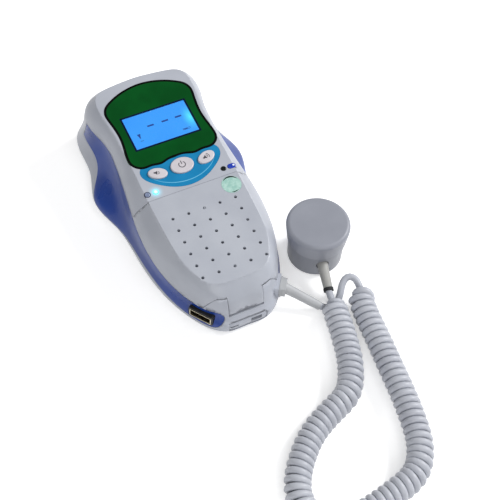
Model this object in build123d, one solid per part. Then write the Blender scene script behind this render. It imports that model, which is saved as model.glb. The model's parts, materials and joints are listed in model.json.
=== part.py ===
from build123d import *
import math
import os

# A hand-held heartbeat listener: a main unit with a display, three keys and a
# speaker under a hinged cover, joined by a curly cord to a round probe.
# Millimetres, +Z up. The origin is the middle of the flat back that the unit
# lies on, +X is its right side and +Y its display end. "Depth" is measured from
# the front face into the unit, along the face's normal or, for the shell's
# outlines, straight down.

# ---------------------------------------------------------------- main shell
low_end = -79.0              # lower end wall
high_end = 78.0              # display end wall
face_height = 37.1           # front face above the back, at mid length
face_pitch = 4.2             # the face rises towards the display end, degrees
wide_height = 6.0            # height of the widest outline, the crease of the flanks
flank_depth = 14.0           # depth of the flank's upper outline
flare_rise = 0.35            # an outline between crease and flank: share of the height
flare_share = 0.4            # and share of the draw-in there
hip_depth = 9.5              # depth of the outline between flank and shoulder
hip_share = 0.25             # how far it has drawn in from the one to the other
shoulder_depth = 4.0         # depth of the shoulder outline
face_inset = 3.3             # the face draws in this far from the shoulder outline
base_inset = 4.0             # the back draws in this far from the widest outline
base_rise = 3.0              # height over which most of it draws in
base_edge = 0.6              # what is left of that inset at that height
wall = 2.6                   # thickness of the moulded shells
seam = 0.15                  # gap between neighbouring shell pieces

# Half outlines, from the middle of the lower end round the right side to the
# middle of the display end: half width and distance from mid length.
widest_outline = [(0, low_end), (11.8, low_end + 0.7), (19.3, low_end + 6.0), (24.4, low_end + 13.3),
                  (30.5, -52.5), (34.8, -36.0), (36.8, -15.0), (38.8, 4.0), (43.6, 25.0), (38.9, 43.0),
                  (38.0, high_end - 18.0), (35.0, high_end - 5.2), (17.0, high_end - 0.6), (0, high_end)]
flank_outline = [(0, low_end + 3.8), (11.0, low_end + 4.2), (18.0, low_end + 8.5), (24.5, low_end + 18.0),
                 (30.0, -48.0), (33.6, -30.0), (34.0, -12.0), (32.2, 6.0), (30.0, 24.0), (30.0, 42.0),
                 (33.4, high_end - 22.0), (30.2, high_end - 9.0), (14.5, high_end - 3.6), (0, high_end - 2.8)]
shoulder_outline = [(0, low_end + 8.5), (10.5, low_end + 9.0), (17.0, low_end + 11.5), (22.5, low_end + 19.0),
                    (26.2, -49.0), (28.0, -31.0), (28.4, -10.0), (28.2, 8.0), (28.0, 26.0), (28.8, 42.0),
                    (30.2, high_end - 22.0), (27.4, high_end - 12.0), (14.0, high_end - 7.2), (0, high_end - 6.2)]

# ---------------------------------------------------------------- side grips
grip_thickness = 1.4         # the coloured skins lie in pockets of the shells
grip_tip_y = 58.5            # pointed upper end
grip_tip_z = 29.4
grip_upper_edge = [(38.0, 28.0), (12.0, 26.2), (-8.0, 23.6), (-28.0, 20.0), (-45.0, 17.6)]
grip_lower_edge = [(-45.0, 7.8), (-8.0, 7.6), (22.0, 5.8), (37.0, 12.0), (49.0, 16.4)]
grip_joint_y = -62.0         # below this the grips run round the corner, level and with a round end
grip_high_z = 16.2
grip_low_z = 6.4
left_grip_end = 11.5         # this far past the middle of the port
right_grip_end = -6.2        # the right one stops short of the probe socket
grip_foot_y = 61.0           # lower corner at the display end
grip_foot_z = 18.6
rear_split_height = 19.0     # where the front and rear shells meet at the display end

# ---------------------------------------------------------------- hinged cover
cover_top = -9.0             # its parting line across the face, and the hinge's axis
cover_lean = 0.2             # the parting surface moves this much up the unit per depth
cover_swing_gap = 0.35       # the cover's lower corners are cut back to clear the grips
cover_low_z = 25.0           # its lower edge on the lower end wall
cover_turn_y = -66.0         # where that edge leaves the grips
cover_turn_run = 4.6         # and it leans out this far on its way there, to swing clear of the rear shell
tongue_half = 9.7            # latch tongue that hangs down the lower end wall
tongue_low_z = 14.6
finger_slot = 1.6            # slot under the tongue
bridge_bar = 3.4             # bar under the slot
recess_half = 10.6           # shallow panel under the bar
recess_low_z = 2.6
recess_depth = 0.6
vents = [(-7.7, 6.3, 4.4, 1.4), (4.7, 6.6, 6.0, 2.8)]      # slots through it: middle x and z, width, height
notches = [(-8.6, 3.6, 2.6, 0.7), (3.4, 4.0, 4.0, 0.7)]    # shallow ones
notch_depth = 0.6            # below the panel
hook_half = 4.0              # two hooks reach under the front shell
hook_x = 10.0
hook_reach = 3.0
hook_root = 4.0
hook_thickness = 1.3

# ---------------------------------------------------------------- display
display_v = 34.0             # middle of the display, up the face
picture_width = 35.9
picture_height = 21.3
panel_thickness = 0.8        # printed panels lie in pockets of the face
panel_gap = 0.1
# half outline of the printed display panel, from its lower to its upper middle
display_outline = [(0, 11.9), (4.6, 11.6), (9.6, 10.3), (14.4, 10.9), (19.0, 10.8), (22.6, 12.4),
                   (25.0, 16.0), (25.2, 21.0), (23.8, 32.0), (24.0, 39.0), (25.0, 46.0), (25.3, 51.0),
                   (23.6, 55.2), (19.4, 58.6), (12.2, 62.0), (5.0, 63.8), (0, 64.2)]
# half outline of the light key panel; its upper edge follows the display panel
key_panel_outline = [(0, -7.3), (4.0, -6.9), (9.7, -5.1), (15.5, -1.6), (20.0, 2.3), (22.2, 6.0),
                     (22.3, 9.0), (20.0, 12.2), (12.0, 14.0), (0, 14.6)]
window_ledge = 0.7           # the clear window rests on this much of the shell
glass_margin = 2.2           # the glass is wider than the picture on each side
glass_thickness = 2.0
strip_width = 1.6            # rubber contact strips above and below the backlight
strip_gap = 0.3
holder_wall = 1.4
holder_gap = 0.1

# ---------------------------------------------------------------- keys
keys_v = 5.25
middle_key_width = 12.8
middle_key_height = 9.7
side_key_x = 13.85
side_key_width = 10.4
side_key_height = 6.6
side_key_tilt = 20.0         # the outer ends lie higher, degrees
key_rise = 1.0               # above the face
key_round = 0.6
key_travel = 0.5
key_gap = 0.12               # round each key, and under the shell at rest
key_flange = 0.7             # the rim that keeps a key in
key_flange_thickness = 0.9
key_stem = 3.0

# ---------------------------------------------------------------- indicator lamps
lamp_v = -4.8
lamp_inner_x = 19.25
lamp_outer_x = 23.9
lamp_diameter = 2.9
lamp_rise = 0.4
lamp_gap = 0.1
lamp_collar = 0.4            # wider foot of a lamp on the board
lamp_collar_height = 1.0
pill_width = 4.6             # the long lamp at the right

# ---------------------------------------------------------------- circuit board
board_depth = 9.0            # its upper side
board_thickness = 1.6
board_half = 26.2
board_low = -7.0
board_high = 60.0
board_corner = 5.0
switch_size = 6.0
switch_height = 3.2
plunger_diameter = 3.4
plunger_height = 1.0
chip_sizes = [(0, 34.0, 12.0, 12.0), (-14.0, 40.0, 5.0, 6.5), (14.0, 30.0, 8.0, 5.0)]   # x, v, width, length
chip_height = 1.5
post_diameter = 5.0
post_points = [(22.0, 14.5), (17.5, 55.5)]
board_screw_diameter = 2.2
board_screw_head = 4.2
screw_head_height = 1.6
thread_gap = 0.05
hole_gap = 0.2
screw_length = 5.0

# ---------------------------------------------------------------- housing screws
housing_screw_points = [(28.0, 3.0), (25.6, 61.5)]
housing_post_diameter = 5.8
housing_screw_diameter = 2.6
housing_screw_head = 4.6
housing_screw_bite = 7.0     # length inside the front shell's posts
head_recess = 3.0            # the heads lie this deep in the back
driver_slot = 0.8

# ---------------------------------------------------------------- speaker
speaker_v = -42.0
grille_columns = 5
grille_rows = 6
grille_pitch_x = 8.81
grille_pitch_v = 7.47
grille_hole = 1.7
speaker_diameter = 36.0
speaker_rim_width = 2.6
speaker_rim_thickness = 1.0
basket_depth = 4.6
basket_wall = 0.8
gasket_thickness = 0.8
magnet_diameter = 18.0
magnet_height = 3.4
cone_thickness = 0.4
dome_diameter = 11.0
seat_height = 2.4            # four ribs on the cover that hold the speaker
seat_wall = 1.4
seat_length = 12.0
speaker_gap = 0.1
badge_x = 19.0
badge_v = -15.4
badge_diameter = 10.5
badge_thickness = 0.6

# ---------------------------------------------------------------- power
cell_diameter = 14.5
cell_length = 50.5
cell_button_diameter = 5.5
cell_button_height = 1.0
cell_spacing = 15.6
cells_y = -36.0              # middle of the battery room
tray_wall = 1.2
tray_floor = 1.0
tray_height = 9.0
tray_gap = 0.2
contact_thickness = 0.4
contact_size = 9.0
spring_wire = 0.7
spring_diameter = 7.0
spring_turns = 2
spring_length = 3.0

# ---------------------------------------------------------------- side sockets
socket_x = 22.3              # the probe socket at the right; the port mirrors it
socket_y = -68.4
socket_z = 11.0
socket_turn = 35.0           # the sockets face this far below the X axis, degrees
socket_wall = 1.2
socket_gap = 0.1
port_width = 12.4
port_height = 5.2
port_sheet = 0.4
port_depth = 5.4
port_proud = 0.5             # how far the metal stands out of the grip
port_rim = 0.9               # black insulator round the metal
port_rim_proud = 0.2
port_round = 1.2
port_tongue_width = 10.0
port_tongue_thickness = 1.8
port_tongue_set_back = 1.2
contact_count = 4
port_contact_width = 1.2
port_contact_thickness = 0.3
plug_width = 8.6
plug_height = 6.6
plug_round = 1.2
plug_out = 3.6               # how far the plug's head stands out
plug_in = 5.0
plug_gap = 0.05
plug_collar = 0.7            # a raised band round the head, at the wall
plug_collar_width = 1.0
boot_base = 5.6
boot_tip = 4.6
boot_root = 1.5              # the boot is moulded this far into the head
boot_end = (38.6, -84.1, 4.0)

# ---------------------------------------------------------------- probe
probe_x = 52.8
probe_y = -50.6
probe_height = 27.9
cap_diameter = 34.4
cap_height = 11.6
cap_round = 2.3
cap_low_diameter = 31.6      # the cap's side draws in towards the joint
cap_face_thickness = 1.6
cap_groove = 0.5             # shadow joint between cap and base
base_diameter = 30.0
base_low_diameter = 29.2
base_edge_round = 1.2
probe_wall = 2.0
lip_height = 3.0             # the base's rim inside the cap
lip_root = 1.5
lip_wall = 1.6
lip_gap = 0.05
seal_wire = 1.1
crystal_diameter = 22.0
crystal_thickness = 1.0
crystal_split = 0.8
backing_thickness = 4.0
probe_board_diameter = 19.0
probe_board_thickness = 1.2
probe_board_z = 7.0
standoff_diameter = 4.0
standoff_radius = 8.0
probe_boot_z = 10.5          # the boot leaves the probe's side here
probe_boot_turn = -103.2     # and points this way, degrees from +X
probe_boot_base = 6.0
probe_boot_tip = 4.8
probe_boot_start = 10.9      # distances from the probe's axis
probe_boot_reach = 27.6
probe_boot_end_z = 6.6
probe_boot_gap = 0.4
probe_flange = 7.0           # disc that keeps the boot in the probe
probe_flange_thickness = 0.8
ring_diameter = 5.4          # dark ring on the boot's tip
ring_length = 1.6

# ---------------------------------------------------------------- curly cord
wire_diameter = 3.7
coil_diameter = 13.8
coil_z = 7.0                 # height of the coil's middle line
# the lead from the plug, past the coil's end and up into its other end
lead_route = [boot_end, (41.6, -86.6, 2.8), (46.6, -86.0, 2.4), (50.8, -83.2, 4.6), (53.8, -78.6, 8.0),
              (57.8, -76.6, 10.4), (61.2, -79.6, 10.4), (61.0, -84.8, 9.0), (60.1, -90.3, 8.6)]
# the coil's middle line, from the lead's end to the probe's end
coil_route = [(58.6, -90.1), (56.6, -103.0), (55.4, -116.5), (53.5, -130.5), (51.7, -146.5), (49.2, -162.0),
              (45.4, -176.5), (36.6, -187.8), (22.5, -191.5), (7.5, -194.5), (-9.5, -195.5), (-20.0, -186.5),
              (-20.3, -173.5), (-13.4, -161.5), (0.0, -148.5), (14.0, -141.8), (27.5, -137.0),
              (36.0, -122.5), (40.2, -107.5), (43.4, -91.0)]
# the wire from the coil to the probe; its first point is the boot ring's end
tail_route = [(45.2, -83.2, 6.6), (44.1, -87.2, 7.6), (43.3, -91.3, 7.8)]
bend_share = 0.45            # each bend takes this share of the shorter straight beside it

pitch = math.radians(face_pitch)
face_normal = Vector(0, -math.sin(pitch), math.cos(pitch))
reach = 120.0                # longer than anything that it cuts


# ---------------------------------------------------------------- helpers
def face_plane(depth=0.0):
    # plane along the front face, that deep in the unit, X to the right and Y up the face
    return Plane(origin=Vector(0, 0, face_height) - face_normal * depth, x_dir=(1, 0, 0), z_dir=face_normal)


def slab(sketch, top, bottom):
    # the sketch, drawn on the face, as a solid between two depths
    return extrude(face_plane(top) * sketch, -(bottom - top))


def face_z(y, depth=0.0):
    # height of the point that lies straight under the face at this depth
    return face_height + y * math.tan(pitch) - depth


def mirrored(half_outline):
    # a half outline and its mirror image, in one closed run
    return list(half_outline) + [(-x, y) for x, y in reversed(half_outline[1:-1])]


def drawn_in(half_outline, inset):
    # the half outline with each point moved inwards, square to its neighbours
    points = []
    last = len(half_outline) - 1
    for index, (x, y) in enumerate(half_outline):
        before = half_outline[index - 1] if index > 0 else (-half_outline[1][0], half_outline[1][1])
        after = half_outline[index + 1] if index < last else (-half_outline[last - 1][0], half_outline[last - 1][1])
        run_x, run_y = after[0] - before[0], after[1] - before[1]
        length = math.hypot(run_x, run_y)
        points.append((x - inset * run_y / length, y + inset * run_x / length))
    return points


def between(first_outline, second_outline, share):
    # half outline part of the way from one to another
    return [(x + share * (u - x), y + share * (v - y))
            for (x, y), (u, v) in zip(first_outline, second_outline)]


def ring(half_outline, inset, height):
    # closed wire round the right half of an outline; height gives Z for each Y.
    # The curve runs a little past both ends, so that it crosses the middle squarely.
    points = drawn_in(half_outline, inset)
    over = 2
    before = [(-x, y) for x, y in reversed(points[1:over + 1])]
    after = [(-x, y) for x, y in reversed(points[-over - 1:-1])]
    whole = Edge.make_spline([Vector(x, y, height(y)) for x, y in before + points + after])
    ends = [Vector(x, y, height(y)) for x, y in (points[0], points[-1])]
    curve = whole.trim(whole.param_at_point(ends[0]), whole.param_at_point(ends[1]))
    return Wire([curve, Edge.make_line(curve @ 1, curve @ 0)])


def body(inset):
    # the solid shape of the whole unit, drawn in on every side: a lower and an
    # upper loft that meet at the crease of the flanks, for each half
    crease = ring(widest_outline, inset, lambda y: wide_height)
    lower = Solid.make_loft([
        ring(widest_outline, inset + base_inset, lambda y: inset),
        ring(widest_outline, inset + base_edge, lambda y: inset * 0.5 + base_rise),
        crease])
    upper = Solid.make_loft([
        crease,
        ring(between(widest_outline, flank_outline, flare_share), inset,
             lambda y: wide_height + flare_rise * (face_z(y, flank_depth) - wide_height)),
        ring(flank_outline, inset, lambda y: face_z(y, flank_depth)),
        ring(between(flank_outline, shoulder_outline, hip_share), inset,
             lambda y: face_z(y, hip_depth + inset * 0.3)),
        ring(shoulder_outline, inset, lambda y: face_z(y, shoulder_depth + inset * 0.5)),
        ring(shoulder_outline, inset + face_inset, lambda y: face_z(y, inset))])
    half = Part() + lower + upper
    return half + half.mirror(Plane.YZ)


def side_prism(sketch, start, length):
    # a sketch drawn in the side view (Y across, Z up) as a solid along X
    return extrude(Plane.YZ.offset(start) * sketch, length)


def closed_outline(points):
    return make_face(Spline(points, periodic=True))


def half_round(half_outline, gap=0.0):
    return closed_outline(mirrored(drawn_in(half_outline, -gap)))


def rod(start, end, diameter, end_diameter=None):
    # a straight round bar or cone between two points
    line = Vector(*end) - Vector(*start)
    plane = Plane(origin=Vector(*start), z_dir=line)
    first = Wire([Edge.make_circle(diameter / 2, plane)])
    last_plane = Plane(origin=Vector(*end), z_dir=line, x_dir=plane.x_dir)
    last = Wire([Edge.make_circle((end_diameter or diameter) / 2, last_plane)])
    return Part() + Solid.make_loft([first, last])


def both_sides(points):
    return [(side * x, y) for x, y in points for side in (1, -1)]


def group(solids):
    # several separate solids of one kind in one node
    return Compound(children=[solid for part in solids for solid in part.solids()])


def turned(profile):
    # a profile of (radius, height) points turned round the Z axis
    return revolve(make_face(Plane.XZ * Polyline(profile, close=True)), Axis.Z)


def on_face(solid, x, v, depth=0.0):
    # put a solid made round the Z axis square to the face
    return face_plane(depth).location * Pos(x, v, 0) * solid


def face_disc(x, v, diameter, top, bottom):
    return slab(Pos(x, v) * Circle(diameter / 2), top, bottom)


def upright(x, y, diameter, low, high):
    return Pos(x, y, (low + high) / 2) * Cylinder(diameter / 2, high - low)


def bend_radii(points):
    # one radius for each inner corner of a route
    radii = []
    for before, corner, after in zip(points, points[1:], points[2:]):
        first, second = Vector(*corner) - Vector(*before), Vector(*after) - Vector(*corner)
        turn = math.radians(first.get_angle(second))
        radii.append(bend_share * min(first.length, second.length) / math.tan(turn / 2))
    return radii


def tube(points, diameter, label):
    # round tube along straight runs joined by arcs
    radii = bend_radii(points)
    path = FilletPolyline(*points, radius=radii)
    solid = sweep(Plane(origin=path @ 0, z_dir=path % 0) * Circle(diameter / 2), path=path)
    expected = math.pi * diameter ** 2 / 4 * path.length
    print(label, "length", round(path.length, 1), "radii", [round(radius, 1) for radius in radii],
          "volume ratio", round(solid.volume / expected, 3))
    return solid


# ---------------------------------------------------------------- sockets' places
def socket_plane(side, out=0.0):
    # plane on the grip's surface, Z pointing away from the unit, Y up
    turn = math.radians(socket_turn)
    away = Vector(side * math.cos(turn), -math.sin(turn), 0)
    origin = Vector(side * socket_x, socket_y, socket_z) + away * out
    return Plane(origin=origin, x_dir=(-away.Y, away.X, 0), z_dir=away)


def socket_block(side, width, height, inner, outer, corner):
    # a rounded bar along the socket's axis, from inner to outer distance
    return extrude(socket_plane(side, inner) * RectangleRounded(width, height, corner), outer - inner)


port_rim_width = port_width + 2 * port_rim
port_rim_height = port_height + 2 * port_rim
socket_width = plug_width + 2 * (plug_gap + socket_wall)
socket_height = plug_height + 2 * (plug_gap + socket_wall)


def socket_holes():
    port = socket_block(-1, port_rim_width + 2 * socket_gap, port_rim_height + 2 * socket_gap, -8.0, 8.0,
                        port_round + socket_gap)
    probe = socket_block(1, socket_width + 2 * socket_gap, socket_height + 2 * socket_gap, -8.0, 8.0,
                         plug_round + socket_gap)
    return port, probe


# ---------------------------------------------------------------- shells
outer_body = body(0)
cavity = body(wall)
cut_body = body(-1.0)        # stands outside the surface, for clean pockets
core_body = body(grip_thickness + seam)


def grip_room(end, gap=0.0):
    # everything at the right that lies inside the outline, grown by gap, of a
    # grip that ends this far past the middle of the socket
    tip = (grip_tip_y + gap, grip_tip_z)
    foot = (grip_foot_y + gap, grip_foot_z)
    high, low = (grip_joint_y, grip_high_z + gap), (grip_joint_y, grip_low_z - gap)
    upper = Spline([tip] + [(y, z + gap) for y, z in grip_upper_edge] + [high], tangents=[(-1, 0), (-1, -0.02)])
    lower = Spline([low] + [(y, z - gap) for y, z in grip_lower_edge] + [foot], tangents=[(1, 0.02), (1, 0.15)])
    side = make_face(Curve() + [upper, lower, Line(high, low), Line(foot, tip)])
    height = grip_high_z - grip_low_z + 2 * gap
    length = 50.0
    corner = Pos(length / 2 - end - gap, (grip_high_z + grip_low_z) / 2 - socket_z) * SlotOverall(length, height)
    corner = extrude(socket_plane(1, -14.0) * corner, 28.0)
    corner &= Pos(0, grip_joint_y - reach / 2, 0) * Box(reach, reach, reach)
    return side_prism(side, 0, reach) + corner


def grip_skins(skin, gap=0.0):
    # the parts of a skin that lie inside the left and the right grip's outline
    left, right = grip_room(left_grip_end, gap), grip_room(right_grip_end, gap)
    return (skin & left).mirror(Plane.YZ), skin & right


def closed_polygon(points):
    return make_face(Polyline(points, close=True))


def grown(sketch, amount):
    return offset(sketch, amount, kind=Kind.INTERSECTION) if amount else sketch


def wide_prism(sketch):
    return side_prism(sketch, -reach / 2, reach)


sky = face_height + 20.0     # above everything
hinge_z = face_z(cover_top)


def leaned(y, z):
    # where the parting surface between cover and front shell is at this height
    return y + cover_lean * (hinge_z - z)


def cover_zone(gap=0.0):
    # everything above the cover's lower edge, as a solid; gap makes it that much larger
    y = cover_top - seam / 2
    inside_grip_z = (grip_high_z + grip_low_z) / 2 + 1.0
    side = closed_polygon([
        (y, sky), (y, hinge_z), (leaned(y, inside_grip_z), inside_grip_z), (cover_turn_y, inside_grip_z),
        (cover_turn_y - cover_turn_run, cover_low_z), (low_end - 10.0, cover_low_z), (low_end - 10.0, sky)])
    grip = grip_room(left_grip_end, seam - gap)
    height = cover_low_z - tongue_low_z + 2.0
    tongue = Pos(0, low_end, tongue_low_z - gap + height / 2) * Box(2 * (tongue_half + gap), 24.0, height)
    return wide_prism(grown(side, gap)) - grip - grip.mirror(Plane.YZ) + tongue


def front_zone(gap=0.0):
    # everything above the front shell's lower edge
    y = cover_top + seam / 2
    side = closed_polygon([(y, sky), (y, hinge_z), (leaned(y, rear_split_height), rear_split_height),
                           (high_end + 10.0, rear_split_height), (high_end + 10.0, sky)])
    return wide_prism(grown(side, gap))


pockets = grip_skins(cut_body - core_body, seam)
shell = outer_body - cavity - pockets[0] - pockets[1]


# ---------------------------------------------------------------- face details
def display_sketch(gap=0.0):
    return half_round(display_outline, gap)


def key_panel_sketch(gap=0.0):
    return half_round(key_panel_outline, gap) - display_sketch(panel_gap - gap)


def picture_sketch(margin=0.0):
    return Pos(0, display_v) * Rectangle(picture_width + 2 * margin, picture_height + 2 * margin)


def key_sketch(side, margin=0.0):
    # side is -1, 0 or 1
    if side:
        shape = Rot(0, 0, side * side_key_tilt) * Ellipse(side_key_width / 2 + margin, side_key_height / 2 + margin)
        return Pos(side * side_key_x, keys_v) * shape
    return Pos(0, keys_v) * Ellipse(middle_key_width / 2 + margin, middle_key_height / 2 + margin)


def lamp_sketch(x, margin=0.0):
    if x == lamp_outer_x:
        return Pos(x, lamp_v) * SlotOverall(pill_width + 2 * margin, lamp_diameter + 2 * margin)
    return Pos(x, lamp_v) * Circle(lamp_diameter / 2 + margin)


lamp_places = [-lamp_outer_x, -lamp_inner_x, lamp_inner_x, lamp_outer_x]


def front_housing():
    part = shell & front_zone()
    for x, v in both_sides(post_points):
        part += face_disc(x, v, post_diameter, wall / 2, board_depth)
    posts = [upright(x, y, housing_post_diameter, rear_split_height + seam, face_z(y, wall / 2))
             for x, y in both_sides(housing_screw_points)]
    for post in posts:
        part += post & core_body
    for x, v in both_sides(post_points):
        part -= face_disc(x, v, board_screw_diameter + 2 * thread_gap,
                          board_depth + board_thickness - screw_length - thread_gap, board_depth + 1.0)
    for x, y in both_sides(housing_screw_points):
        part -= upright(x, y, housing_screw_diameter + 2 * thread_gap, 0,
                        rear_split_height + housing_screw_bite + thread_gap)
    part -= slab(display_sketch(panel_gap), -reach / 2, panel_thickness)
    part -= slab(key_panel_sketch(panel_gap), -reach / 2, panel_thickness)
    part -= slab(picture_sketch(-window_ledge), -1.0, wall + 1.0)
    for side in (-1, 0, 1):
        part -= slab(key_sketch(side, key_gap), -1.0, wall + 1.0)
    for x in lamp_places:
        part -= slab(lamp_sketch(x, lamp_gap), -2.0, board_depth - 2.0)
    return part


def rear_housing():
    part = shell - cover_zone(seam) - front_zone(seam)
    for x, y in both_sides(housing_screw_points):
        part += upright(x, y, housing_post_diameter, wall / 2, rear_split_height)
    for x, y in both_sides(housing_screw_points):
        part -= upright(x, y, housing_screw_diameter + 2 * hole_gap, -1.0, rear_split_height + 1.0)
        part -= upright(x, y, housing_screw_head + 2 * hole_gap, -1.0, head_recess + screw_head_height)
    slot_z = tongue_low_z - seam - finger_slot / 2
    part -= Pos(0, low_end, slot_z) * Box(2 * (tongue_half + seam), 24.0, finger_slot)
    bar_low_z = slot_z - finger_slot / 2 - bridge_bar
    panel = Pos(0, low_end, (bar_low_z + recess_low_z) / 2) * Box(2 * recess_half, 24.0, bar_low_z - recess_low_z)
    part -= panel - body(recess_depth)
    for x, z, width, height in vents:
        part -= Pos(x, low_end, z) * Box(width, 24.0, height)
    deeper = body(recess_depth + notch_depth)
    for x, z, width, height in notches:
        part -= Pos(x, low_end, z) * Box(width, 24.0, height) - deeper
    for hole in socket_holes():
        part -= hole
    return part


def grips():
    port, probe = socket_holes()
    left, right = grip_skins(outer_body - body(grip_thickness))
    return left - port, right - probe


def speaker_cover():
    part = shell & cover_zone()
    swing = hinge_z - grip_upper_edge[2][1] - cover_swing_gap
    corner = Pos(0, cover_top + reach / 2, hinge_z) * Box(reach, reach, reach)
    part -= corner - Pos(0, cover_top, hinge_z) * Rot(0, 90, 0) * Cylinder(swing, reach)
    for turn in (0, 90, 180, 270):
        rib_x = speaker_diameter / 2 + speaker_gap + seat_wall / 2
        rib = Pos(0, speaker_v) * Rot(0, 0, turn) * Pos(rib_x, 0) * Rectangle(seat_wall, seat_length)
        part += slab(rib, wall / 2, wall + seat_height)
    for side in (-1, 1):
        under = wall + seam
        middle = cover_top + (hook_reach - hook_root) / 2
        length = hook_reach + hook_root
        hook = Pos(side * hook_x, middle) * Rectangle(2 * hook_half, length)
        root = Pos(side * hook_x, cover_top - seam - hook_root / 2) * Rectangle(2 * hook_half, hook_root)
        part += slab(hook, under, under + hook_thickness) + slab(root, wall / 2, under + hook_thickness / 2)
    holes = Sketch() + GridLocations(grille_pitch_x, grille_pitch_v, grille_columns, grille_rows) * Circle(
        grille_hole / 2)
    part -= slab(Pos(0, speaker_v) * holes, -2.0, wall + 1.0)
    part -= face_disc(badge_x, badge_v, badge_diameter + 2 * panel_gap, -3.0, badge_thickness)
    return part


# ---------------------------------------------------------------- display
def display_parts():
    panel = slab(display_sketch() - picture_sketch(panel_gap), -1.0, panel_thickness) & outer_body
    window = slab(picture_sketch(), 0, panel_thickness)
    glass_top = wall + holder_gap
    glass_low = glass_top + glass_thickness
    glass_height = picture_height + 2 * glass_margin
    glass = slab(picture_sketch(glass_margin), glass_top, glass_low)
    strip_v = glass_height / 2 - strip_width / 2
    strips = [slab(Pos(0, display_v + side * strip_v) * Rectangle(picture_width, strip_width), glass_low, board_depth)
              for side in (-1, 1)]
    light = slab(Pos(0, display_v) * Rectangle(picture_width, glass_height - 2 * (strip_width + strip_gap)),
                 glass_low, board_depth)
    inner = picture_sketch(glass_margin + holder_gap)
    holder = slab(picture_sketch(glass_margin + holder_gap + holder_wall) - inner, glass_top, board_depth)
    return panel, window, glass, light, holder, group(strips)


def key_panel():
    sketch = key_panel_sketch()
    for side in (-1, 0, 1):
        sketch -= key_sketch(side, key_gap)
    return slab(sketch, -1.0, panel_thickness) & outer_body


def key(side):
    top = slab(key_sketch(side), -key_rise, wall + key_gap + key_flange_thickness)
    top = fillet(top.edges().group_by(lambda edge: edge.center().dot(face_normal))[-1], key_round)
    flange_top = wall + key_gap
    flange = slab(key_sketch(side, key_flange), flange_top, flange_top + key_flange_thickness)
    stem_end = board_depth - switch_height - plunger_height - key_travel - 0.05
    stem = face_disc(side * side_key_x, keys_v, key_stem, wall, stem_end)
    return top + flange + stem


def key_switches():
    switches = []
    for side in (-1, 0, 1):
        x = side * side_key_x
        base = slab(Pos(x, keys_v) * Rectangle(switch_size, switch_size), board_depth - switch_height, board_depth)
        top = board_depth - switch_height
        switches.append(base + face_disc(x, keys_v, plunger_diameter, top - plunger_height, top))
    return group(switches)


def lamp(x):
    part = slab(lamp_sketch(x), -lamp_rise, board_depth)
    part = fillet(part.edges().group_by(lambda edge: edge.center().dot(face_normal))[-1], lamp_rise)
    return part + slab(lamp_sketch(x, lamp_collar), board_depth - lamp_collar_height, board_depth)


# ---------------------------------------------------------------- circuit board
def main_board():
    outline = Pos(0, (board_low + board_high) / 2) * RectangleRounded(
        2 * board_half, board_high - board_low, board_corner)
    board = slab(outline, board_depth, board_depth + board_thickness)
    for x, y in both_sides(housing_screw_points):
        board -= upright(x, y, housing_post_diameter + 4 * hole_gap, 0, face_height + 10.0)
    for x, v in both_sides(post_points):
        board -= face_disc(x, v, board_screw_diameter + 2 * hole_gap, board_depth - 1.0, board_depth + 3.0)
    return board


def board_chips():
    top = board_depth + board_thickness
    return group([slab(Pos(x, v) * Rectangle(width, length), top, top + chip_height)
                  for x, v, width, length in chip_sizes])


def screw(head_diameter, shank_diameter, length):
    # a pan-head screw standing on its head, the shank upwards from Z 0
    head = Pos(0, 0, -screw_head_height / 2) * Cylinder(head_diameter / 2, screw_head_height)
    cut = Pos(0, 0, -screw_head_height) * Box(head_diameter * 0.6, driver_slot, driver_slot)
    return head + Pos(0, 0, length / 2) * Cylinder(shank_diameter / 2, length) - cut - Rot(0, 0, 90) * cut


def board_screws():
    one = screw(board_screw_head, board_screw_diameter, screw_length)
    return group([on_face(one, x, v, board_depth + board_thickness) for x, v in both_sides(post_points)])


def housing_screws():
    start = head_recess + screw_head_height
    one = screw(housing_screw_head, housing_screw_diameter, rear_split_height + housing_screw_bite - start)
    return group([Pos(x, y, start) * one for x, y in both_sides(housing_screw_points)])


# ---------------------------------------------------------------- speaker
def speaker_parts():
    rim_radius = speaker_diameter / 2
    inner = rim_radius - speaker_rim_width
    rim_top = -wall - gasket_thickness
    rim_low = rim_top - speaker_rim_thickness
    back = rim_low - basket_depth
    magnet_radius = magnet_diameter / 2
    gasket = slab(Pos(0, speaker_v) * (Circle(rim_radius) - Circle(inner)), wall, wall + gasket_thickness)
    frame = turned([(inner, rim_top), (rim_radius, rim_top), (rim_radius, rim_low), (inner + basket_wall, rim_low),
                    (magnet_radius + basket_wall, back), (dome_diameter / 2, back),
                    (dome_diameter / 2, back + basket_wall), (magnet_radius, back + basket_wall),
                    (inner, rim_low)])
    magnet = turned([(0, back), (magnet_radius, back), (magnet_radius, back - magnet_height), (0, back - magnet_height)])
    dome = dome_diameter / 2
    deep = back + 2 * basket_wall
    cone = turned([(0, deep + 1.6), (dome, deep + 0.4), (inner - 0.2, rim_top - cone_thickness),
                   (inner - 0.2, rim_top - 2 * cone_thickness), (dome, deep), (0, deep + 1.2)])
    badge = face_disc(badge_x, badge_v, badge_diameter, -1.0, badge_thickness) & outer_body
    return [on_face(solid, 0, speaker_v) for solid in (frame, cone, magnet)] + [gasket, badge]


# ---------------------------------------------------------------- power
room = 2 * contact_thickness + spring_length + cell_length + cell_button_height
room_half_width = (cell_spacing + cell_diameter) / 2 + tray_gap


def battery_tray():
    floor_z = wall
    outer = Box(2 * (room_half_width + tray_wall), room + 2 * tray_wall, tray_height)
    inner = Pos(0, 0, tray_floor) * Box(2 * room_half_width, room, tray_height)
    rib = Pos(0, 0, (tray_floor - tray_height) / 2 + 1.5) * Box(0.8, room - 8.0, 3.0 + tray_floor)
    return Pos(0, cells_y, floor_z + tray_height / 2) * (outer - inner + rib)


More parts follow.
